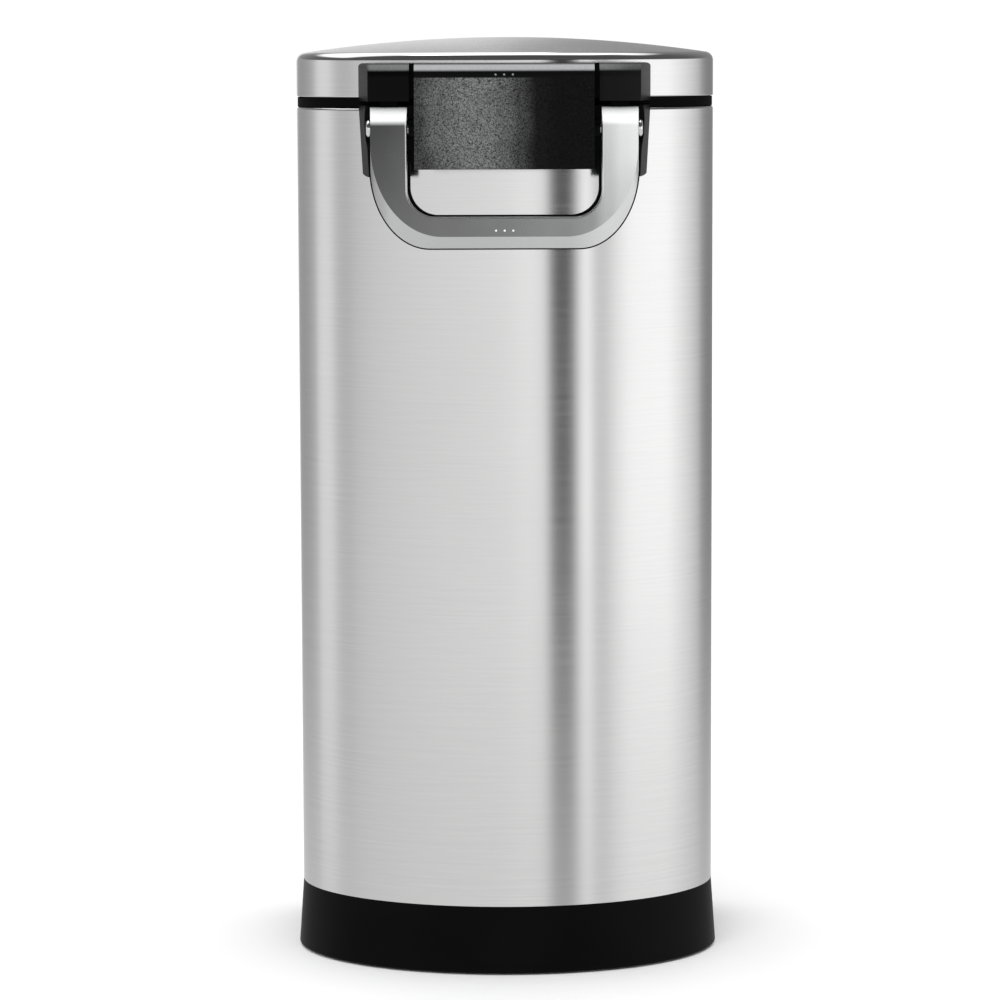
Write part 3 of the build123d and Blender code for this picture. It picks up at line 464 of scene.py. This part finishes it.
STEEL = brushed_steel("brushed_steel_sheet")
LID_STEEL = brushed_steel("brushed_steel_lid", rim=True)
BLACK = moulded(
    "black_plastic", (0.0009, 0.0009, 0.0010), (0.002, 0.002, 0.0022), 0.42, 0.55 * MM, 0.00004, gloss=0.05
)
GRAINED = leather_grain("grained_black_plastic")
GLOSS = gloss_black("gloss_black_plastic")
CASTING = satin_casting("satin_grey_casting")
# near-white dots: their colour stands in for the dots' glints, a painted highlight
PAINTED_GLINT_WHITE = moulded("white_enamel", (0.78, 0.78, 0.78), (0.84, 0.84, 0.84), 0.25, 0.5 * MM, 0.00001, 0.03)
ZINC = turned_metal("zinc_steel", 0.55, 0.34)
POLISHED = turned_metal("polished_steel", 0.72, 0.16)
GREY = moulded("grey_plastic", (0.17, 0.175, 0.18), (0.20, 0.205, 0.21), 0.5, 0.6 * MM, 0.00004)
RUBBER = moulded(
    "black_rubber", (0.0008, 0.0008, 0.0008), (0.002, 0.002, 0.002), 0.6, 0.7 * MM, 0.00005, gloss=0.03
)
CLEAR = clear_plastic("clear_grey_plastic")

BY_SLOT = {
    "brushed_steel_sheet": STEEL,
    "black_plastic": BLACK,
    "grained_black_plastic": GRAINED,
    "gloss_black_plastic": GLOSS,
    "satin_grey_casting": CASTING,
    "zinc_steel": ZINC,
    "polished_steel": POLISHED,
    "grey_plastic": GREY,
    "black_rubber": RUBBER,
    "white_enamel": PAINTED_GLINT_WHITE,
    "clear_grey_plastic": CLEAR,
}


def dress_cad_nodes():
    """Gives every CAD node its slot's material, and keeps the handle out of reflections."""
    for part in frame["record"]["subparts"]:
        mesh = NODES[part["node"]].data
        for i in range(len(mesh.materials)):
            mesh.materials[i] = BY_SLOT[part["material_slot"]]
    for name in ("handle_bail", "handle_grip_back"):
        NODES[name].visible_glossy = False


# ---------------------------------------------------------------- steel sleeve and lid
def rounded(grow, z, radius, angle, steps):
    """(grow, z) points of an arc in a sweep's section, from its outermost point upwards."""
    turn = radians(angle) / steps
    return [(grow + radius * cos(i * turn), z + radius * sin(i * turn)) for i in range(steps + 1)]


def sleeve():
    """The sleeve's sheet, with a rolled top edge turned inwards."""
    top, low = SLEEVE_HIGH.z, SLEEVE_LOW.z
    profile = [(0, low), (0, top - ROLL - FLAT)]
    profile += rounded(-ROLL, top - ROLL, ROLL, 90, 8)
    profile += [(-TURNED_IN, top), (-TURNED_IN, top - SHEET), (-SHEET - ROLL, top - SHEET)]
    profile += [(-SHEET, top - SHEET - ROLL), (-SHEET, low)]
    return skin("steel_sleeve", [ring(g, z) for g, z in profile], closed=True)


def dome_rings(grow, edge):
    """Levels of the dome, a paraboloid, from its edge to just short of the middle."""
    outer = plan(grow)
    start = 1 + grow / DOME_REACH
    rings = []
    for i in range(DOME_LEVELS):
        share = start * (1 - i / DOME_LEVELS)
        z = edge + DOME_RISE * (1 - share * share)
        rings.append([
            Vector((x * share / start, CENTRE_Y + (y - CENTRE_Y) * share / start, z)) for x, y in outer
        ])
    return rings


def lid_side(inset):
    """The lid's sheet on one face, from its hem over the rounded edge to the middle of the dome."""
    radius = LID_ROUND - inset
    angle = radians(LID_ROUND_ANGLE)
    dome = dome_rings(-inset - radius * (1 - cos(angle)), LID_EDGE - inset)
    foot = dome[0][0].z - radius * sin(angle)
    profile = [(-inset, LID_LOW.z + HEM + FLAT), (-inset, foot - FLAT)]
    profile += rounded(-inset - radius, foot, radius, LID_ROUND_ANGLE, 14)[:-1]
    return [ring(g, z) for g, z in profile] + dome


def lid():
    """The drawn lid, closed at its hem."""
    outside, inside = lid_side(0), lid_side(SHEET)
    low = LID_LOW.z
    foot = [ring(-SHEET, low + HEM), ring(-SHEET + HEM / 2, low), ring(-HEM / 2, low), ring(0, low + HEM)]
    obj = skin("steel_lid", list(reversed(inside)) + foot + outside)
    close_middles(obj)
    return obj


def close_middles(obj):
    """Closes the two small openings left in the middle of the dome's faces."""
    bm = bmesh.new()
    bm.from_mesh(obj.data)
    bmesh.ops.holes_fill(bm, edges=[e for e in bm.edges if e.is_boundary], sides=0)
    bmesh.ops.recalc_face_normals(bm, faces=bm.faces)
    bm.to_mesh(obj.data)
    bm.free()
    shade(obj.data)


# ---------------------------------------------------------------- studio
def floor():
    """A plain pale floor."""
    bm = bmesh.new()
    bmesh.ops.create_grid(bm, x_segments=1, y_segments=1, size=30)
    obj = finish_mesh("studio_floor", bm)
    n = Nodes("pale_floor")
    mottle = n.noise(n.coords, 3, 2.0, 0.5)
    n.tinted(n.ranged(mottle, 0, 1), (0.90, 0.90, 0.90), (0.92, 0.92, 0.92))
    n.set(Roughness=0.9, Specular_IOR_Level=0.1)
    obj.data.materials.append(n.material)
    obj.visible_glossy = False


# Studio panels: (degrees round from the camera's side, to the right, brightness)
PANELS = (
    (-180, 0.50), (-158, 0.42), (-138, 0.44), (-118, 0.64), (-102, 1.08), (-91, 0.84), (-82, 0.70),
    (-74, 0.80), (-54, 0.97), (-33, 1.08), (-15, 1.15), (0, 1.22), (11, 1.34), (15.5, 1.34), (18, 0.7),
    (20, 0.0), (26.5, 0.0), (28.5, 0.40), (31, 1.25), (34, 1.75), (37, 1.0), (40, 0.88), (46, 1.14),
    (52, 1.42), (62, 1.62), (76, 1.62), (93, 1.36), (104, 1.12), (119, 0.78), (141, 0.32), (165, 0.28),
    (180, 0.30),
)
OVERHEAD = (
    (-180, 0.50), (-150, 0.30), (-125, 0.20), (-105, 0.14), (0, 0.10),
    (105, 0.14), (125, 0.20), (150, 0.28), (180, 0.30),
)


BRIGHTEST = 2.0  # the panels' brightness at the top of a float curve
CROWN_LIGHT = 1.75  # high behind the can
ZENITH_LIGHT = 4.5
FLOOR_LIGHT = 0.83
FILL_LIGHT = 1.15  # what matt surfaces get from every side
BACKDROP_LIGHT = 1.02


def ramp_by_azimuth(n, azimuth, stops):
    """Brightness round the studio, by a float curve, since a colour ramp holds too few stops."""
    curve = n.add("ShaderNodeFloatCurve")
    curve.mapping.use_clip = False
    points = curve.mapping.curves[0].points
    spots = [((angle + 180) / 360, value / BRIGHTEST) for angle, value in stops]
    points[0].location, points[1].location = spots[0], spots[-1]
    for spot in spots[1:-1]:
        points.new(*spot)
    for point in points:
        point.handle_type = "AUTO_CLAMPED"
    curve.mapping.update()
    n.link(azimuth, curve.inputs["Value"])
    return n.maths("MULTIPLY", curve.outputs["Value"], BRIGHTEST)


def studio_world():
    """Soft panels all round, a ceiling dark in front and bright behind, and a white backdrop."""
    world = bpy.data.worlds.new("studio")
    bpy.context.scene.world = world
    world.use_nodes = True
    n = Graph(world.node_tree)
    background = n.tree.nodes["Background"]
    output = n.tree.nodes["World Output"]

    def eased(value, low, high, out_low=0.0, out_high=1.0):
        return n.map_range(value, (low, high), (out_low, out_high), "SMOOTHSTEP")

    rays = n.add("ShaderNodeLightPath").outputs
    x, y, z = n.split(n.add("ShaderNodeTexCoord").outputs["Generated"])
    azimuth = n.maths("ARCTAN2", x, n.maths("MULTIPLY", y, -1.0))
    share = n.maths("ADD", n.maths("MULTIPLY", azimuth, 0.5 / pi), 0.5)
    panels = ramp_by_azimuth(n, share, PANELS)
    overhead = ramp_by_azimuth(n, share, OVERHEAD)
    walls = n.between(eased(z, 0.12, 0.22), panels, overhead)
    # the wall straight behind the can, which the front of the dome mirrors
    behind = n.between(eased(y, 0.93, 0.98), walls, eased(x, -0.026, 0.034, 0.86, 0.33))
    # the bright wall high up behind the can, which starts higher on the right
    raised = n.maths("SUBTRACT", z, eased(x, 0.02, 0.09, 0.0, 0.25))
    crown = n.maths("MULTIPLY", eased(raised, 0.48, 0.62), eased(y, -0.10, 0.12))
    zenith = n.maths("MULTIPLY", eased(z, 0.90, 0.96), eased(y, -0.15, 0.0))
    sky = n.between(zenith, n.between(crown, behind, CROWN_LIGHT), ZENITH_LIGHT)
    below = eased(z, -0.27, -0.10, 1.0, 0.0)
    mirrored = n.between(below, sky, FLOOR_LIGHT)
    light = n.between(rays["Is Diffuse Ray"], mirrored, FILL_LIGHT)
    n.link(light, background.inputs["Strength"])
    background.inputs["Color"].default_value = (1, 1, 1, 1)
    backdrop = n.add("ShaderNodeBackground")
    backdrop.inputs["Color"].default_value = (1, 1, 1, 1)
    backdrop.inputs["Strength"].default_value = BACKDROP_LIGHT
    mix = n.add("ShaderNodeMixShader")
    n.link(rays["Is Camera Ray"], mix.inputs[0])
    n.link(background.outputs[0], mix.inputs[1])
    n.link(backdrop.outputs[0], mix.inputs[2])
    n.link(mix.outputs[0], output.inputs["Surface"])


def softbox(name, place_at, aim, size, power):
    """A large area light aimed at a point."""
    data = bpy.data.lights.new(name, "AREA")
    data.shape = "RECTANGLE"
    data.size, data.size_y = size
    data.energy = power
    obj = bpy.data.objects.new(name, data)
    obj.location = place_at
    obj.rotation_euler = (Vector(aim) - Vector(place_at)).to_track_quat("-Z", "Y").to_euler()
    obj.visible_glossy = False
    bpy.context.scene.collection.objects.link(obj)


# Camera: place in metres, angles in degrees, lens and sensor in millimetres
CAMERA_PLACE = (0.008, FRONT - 2.651, 0.637)
CAMERA_PAN, CAMERA_DOWN, CAMERA_ROLL = 0.257, 6.558, -0.2
CAMERA_LENS, CAMERA_SENSOR = 140.1, 36


def camera():
    """A long lens, a little above the can's middle, looking slightly down."""
    data = bpy.data.cameras.new("camera")
    data.lens = CAMERA_LENS
    data.sensor_width = CAMERA_SENSOR
    data.clip_end = 100
    obj = bpy.data.objects.new("camera", data)
    obj.location = CAMERA_PLACE
    pan = Matrix.Rotation(radians(CAMERA_PAN), 3, "Z")
    tilt = Matrix.Rotation(radians(90 - CAMERA_DOWN), 3, "X")
    roll = Matrix.Rotation(radians(CAMERA_ROLL), 3, "Z")
    obj.rotation_euler = (pan @ tilt @ roll).to_euler()
    bpy.context.scene.collection.objects.link(obj)
    bpy.context.scene.camera = obj


# ---------------------------------------------------------------- the scene
dress_cad_nodes()
place(sleeve(), "can", "brushed_steel_sheet", STEEL, "body_shell")
place(lid(), "lid", "brushed_steel_sheet", LID_STEEL, "lid_shell")
floor()
studio_world()
softbox("front_light", (-0.7, -2.4, 1.6), (0, 0, 0.4), (1.6, 1.2), 22)
camera()
bpy.context.scene.view_settings.view_transform = "Standard"
